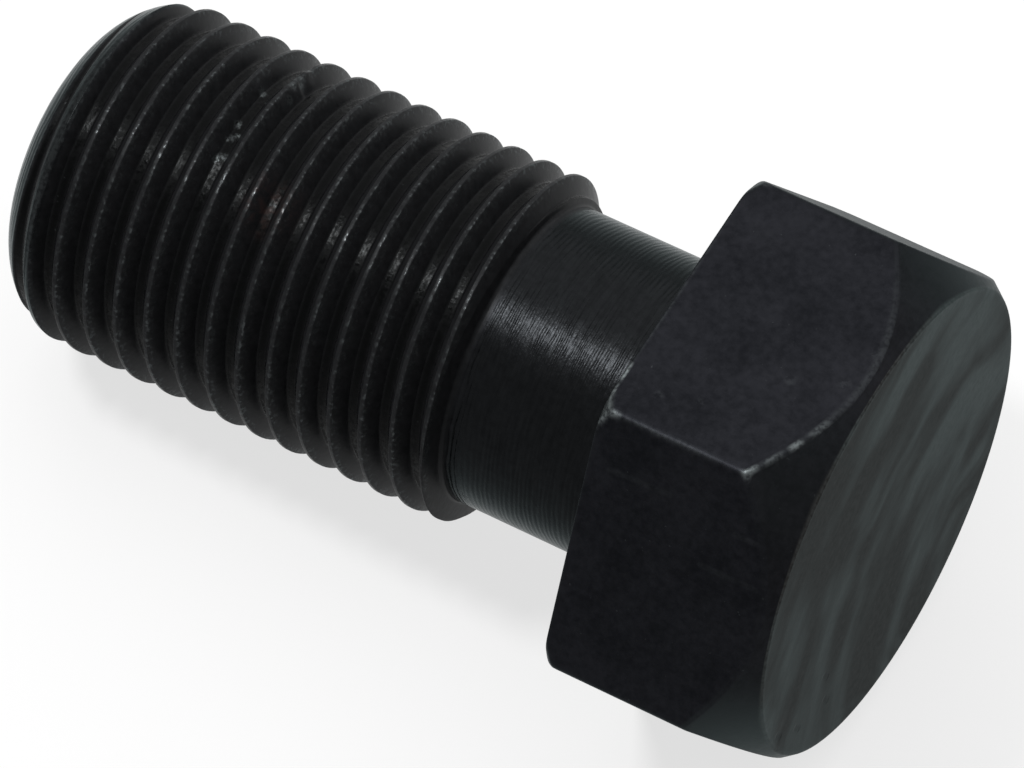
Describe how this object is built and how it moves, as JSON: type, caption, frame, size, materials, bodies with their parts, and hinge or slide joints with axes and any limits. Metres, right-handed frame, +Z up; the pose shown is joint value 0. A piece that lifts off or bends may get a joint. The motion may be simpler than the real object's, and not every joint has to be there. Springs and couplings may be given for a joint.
{
  "type": "fuel filter bolt",
  "caption": "Blackened steel hexagon-head bolt that holds a fuel filter, with a smooth turned neck and a fine right-hand thread down to its crowned tip.",
  "frame": {"origin": "on the ground under the middle of the bolt's bounding box, as the bolt lies at rest on one flat of its head and on the first full thread crest", "axes": "+X runs level from the tip towards the head, +Y runs level across the bolt, +Z is up; the bolt's own axis lies in the XZ plane and rises by 6.23 degrees towards the head"},
  "size_m": [0.0408, 0.0248, 0.0224],
  "materials": {
    "blackened_steel": "satin"
  },
  "bodies": {
    "root": {"bolt": "blackened_steel"}
  },
  "joints": []
}
